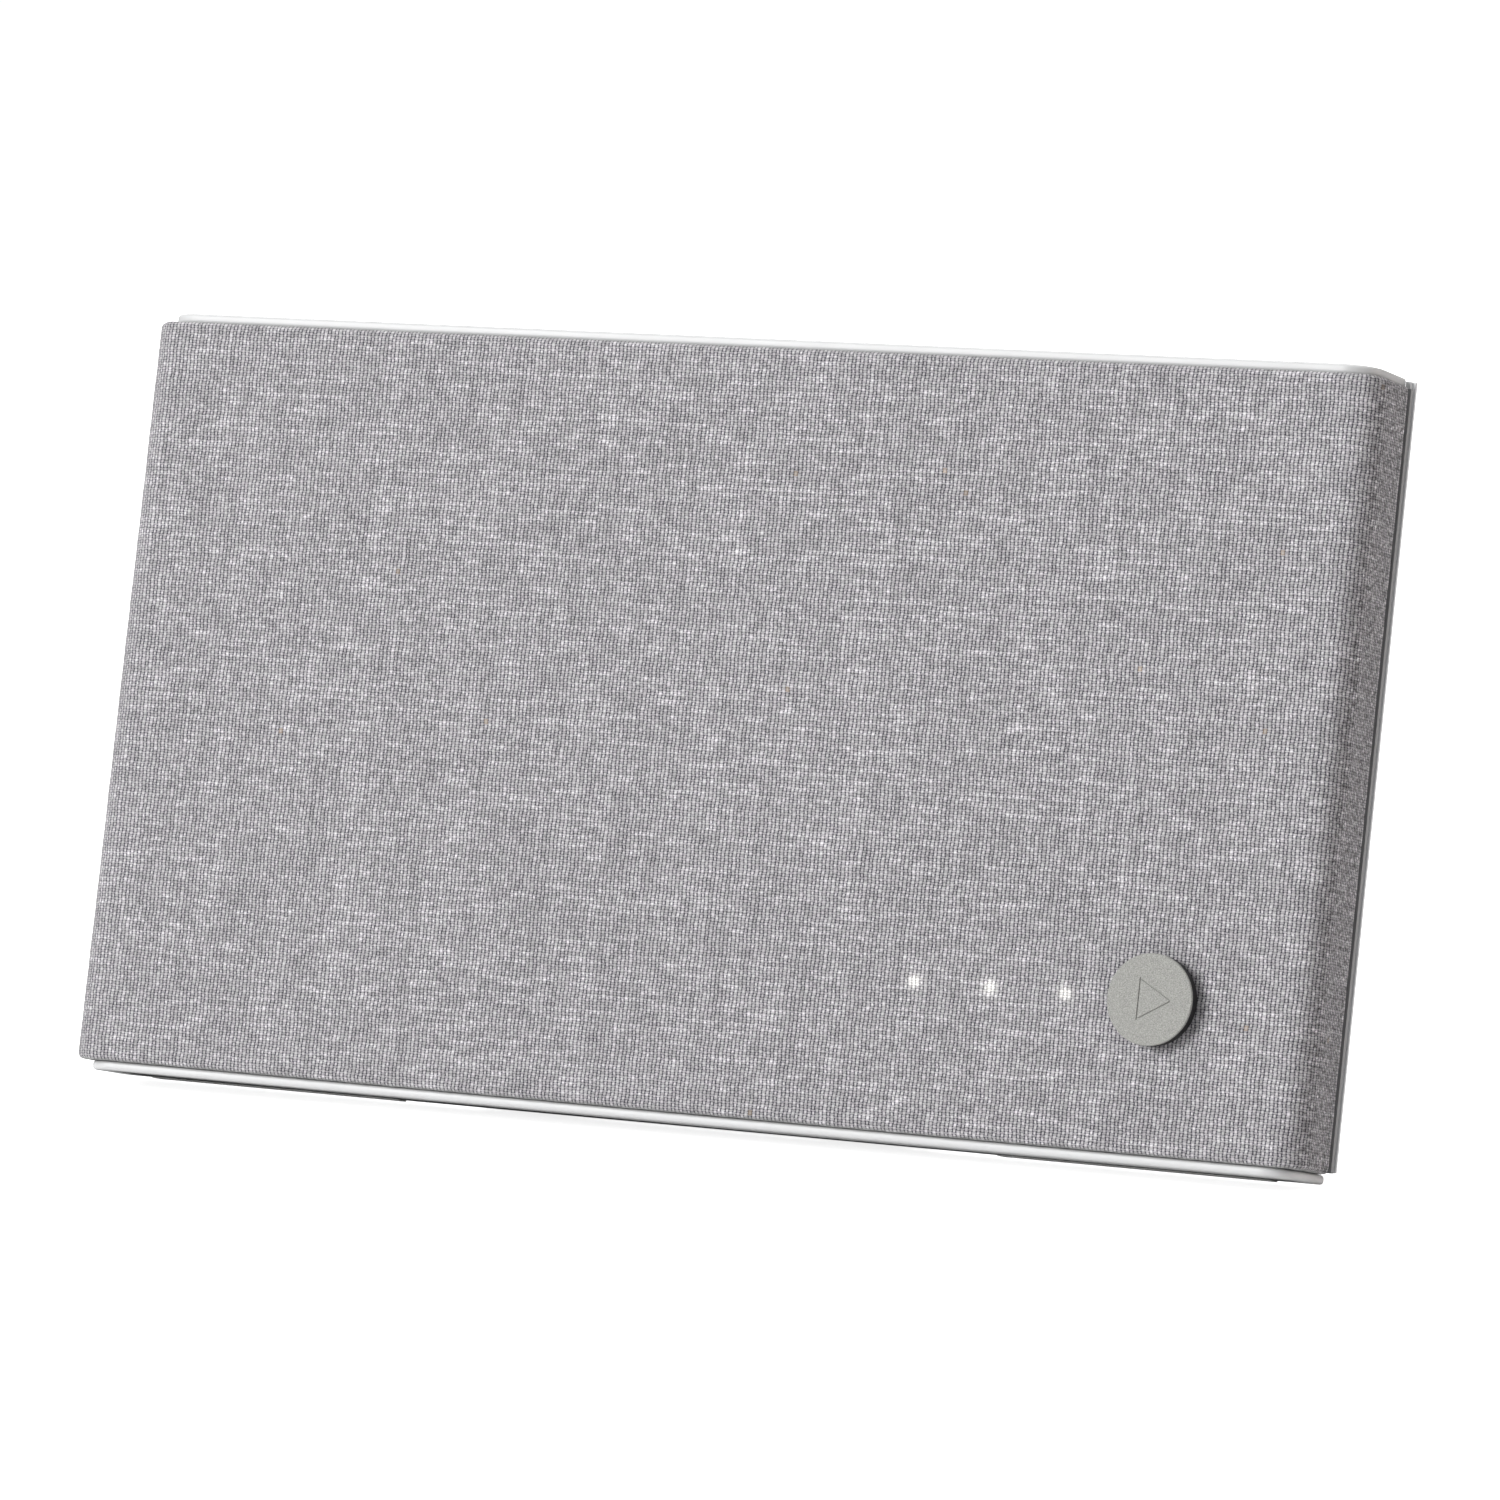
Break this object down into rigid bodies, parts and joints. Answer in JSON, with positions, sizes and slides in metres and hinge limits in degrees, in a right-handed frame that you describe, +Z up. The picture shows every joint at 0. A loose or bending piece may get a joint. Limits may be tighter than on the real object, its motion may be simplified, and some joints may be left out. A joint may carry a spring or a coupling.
{
  "type": "smart speaker",
  "caption": "Slim slab speaker with a woven cloth front, white top and bottom caps and a round knob; it leans back on a fold-out foot.",
  "frame": {"origin": "centre of the footprint on the surface that the speaker stands on", "axes": "+X to the right seen from the front, -Y towards the listener, +Z up; the slab leans back by 13.72 degrees"},
  "size_m": [0.306, 0.082, 0.1751],
  "materials": {
    "cloth": "grey-lilac melange weave",
    "grille_plastic": "moulded",
    "rubber_black": "matte",
    "shell_grey": "fine moulded grain",
    "cap_white": "satin white",
    "cover_silver": "fine moulded grain",
    "foam_black": "closed-cell foam",
    "screw_dark": "black zinc",
    "screw_zinc": "zinc",
    "steel": "bright",
    "rubber_light": "matte",
    "stamped_steel": "black paint",
    "motor_steel": "zinc",
    "magnet": "sintered",
    "cone_black": "pressed pulp",
    "surround_rubber": "matte",
    "spider_cloth": "resin-dipped cloth",
    "driver_plastic": "moulded",
    "dome_silk": "coated silk",
    "radiator_disc": "filled plastic",
    "knob_face": "fine bead-blasted grain",
    "knob_black": "black",
    "brass": "turned",
    "encoder_green": "moulded",
    "nylon_white": "moulded",
    "circuit_board": "solder mask",
    "lamp": "lit",
    "light_pipe": "clear",
    "chip_black": "moulded",
    "spreader": "extruded",
    "battery_foil": "foil pouch",
    "button_silver": "fine moulded grain",
    "wire_red": "insulation",
    "ribbon": "film"
  },
  "bodies": {
    "root": {"grille_cloth": "cloth", "grille_frame": "grille_plastic", "grille_grommets": "rubber_black", "enclosure": "shell_grey", "top_cap": "cap_white", "bottom_cap": "cap_white", "rear_cover": "cover_silver", "cover_gasket": "foam_black", "cover_screws": "screw_dark", "foot_pin": "steel", "base_strips": "rubber_light", "woofer_left_basket": "stamped_steel", "woofer_left_motor": "motor_steel", "woofer_left_magnet": "magnet", "woofer_left_surround": "surround_rubber", "woofer_left_spider": "spider_cloth", "woofer_right_basket": "stamped_steel", "woofer_right_motor": "motor_steel", "woofer_right_magnet": "magnet", "woofer_right_surround": "surround_rubber", "woofer_right_spider": "spider_cloth", "tweeter_left_body": "driver_plastic", "tweeter_left_dome": "dome_silk", "tweeter_right_body": "driver_plastic", "tweeter_right_dome": "dome_silk", "radiator_frame": "driver_plastic", "radiator_surround": "surround_rubber", "knob_bushing": "brass", "encoder_body": "encoder_green", "control_board": "circuit_board", "lamps": "lamp", "light_pipes": "light_pipe", "main_board": "circuit_board", "board_chips": "chip_black", "heat_spreader": "spreader", "wifi_antenna": "brass", "mic_board": "circuit_board", "mic_seal": "rubber_black", "battery_cells": "battery_foil", "battery_tray": "chip_black", "port_board": "circuit_board", "usb_socket": "steel", "aux_jack": "chip_black", "power_switch": "chip_black", "speaker_leads": "wire_red", "ribbon_cable": "ribbon", "battery_lead": "wire_red", "driver_screws": "screw_dark", "board_screws": "screw_zinc"},
    "foot": {"foot_plate": "cover_silver", "foot_pad": "rubber_black"},
    "encoder_slider": {"encoder_plunger": "nylon_white"},
    "knob": {"knob_cap": "knob_face", "knob_body": "knob_black", "knob_shaft": "steel"},
    "power_key": {"power_button": "button_silver"},
    "woofer_left": {"woofer_left_cone": "cone_black"},
    "woofer_right": {"woofer_right_cone": "cone_black"},
    "radiator": {"radiator_plate": "radiator_disc"}
  },
  "joints": [
    {"name": "foot_fold", "type": "hinge", "parent": "root", "child": "foot", "pos_m": [0, -0.02496, 0.00657], "axis": [1, 0, 0], "range_deg": [0, 76.28]},
    {"name": "knob_push", "type": "slide", "parent": "root", "child": "encoder_slider", "axis": [0, 0.9715, -0.2372], "range_m": [0, 0.0005], "stiffness_N_per_m": 1500, "springref_m": -0.0004},
    {"name": "knob_turn", "type": "hinge", "parent": "encoder_slider", "child": "knob", "pos_m": [0.1165, -0.0332, 0.03957], "axis": [0, 0.9715, -0.2372], "continuous": true},
    {"name": "power_press", "type": "slide", "parent": "root", "child": "power_key", "axis": [0, -0.9715, 0.2372], "range_m": [0, 0.0004], "stiffness_N_per_m": 1500, "springref_m": -0.0003},
    {"name": "woofer_left_stroke", "type": "slide", "parent": "root", "child": "woofer_left", "axis": [0, -0.9715, 0.2372], "range_m": [-0.0012, 0.0012], "stiffness_N_per_m": 800, "deforming": ["woofer_left_surround", "woofer_left_spider"]},
    {"name": "woofer_right_stroke", "type": "slide", "parent": "root", "child": "woofer_right", "axis": [0, -0.9715, 0.2372], "range_m": [-0.0012, 0.0012], "stiffness_N_per_m": 800, "deforming": ["woofer_right_surround", "woofer_right_spider"]},
    {"name": "radiator_stroke", "type": "slide", "parent": "root", "child": "radiator", "axis": [0, -0.9715, 0.2372], "range_m": [-0.0018, 0.0018], "stiffness_N_per_m": 600, "deforming": ["radiator_surround"]}
  ]
}
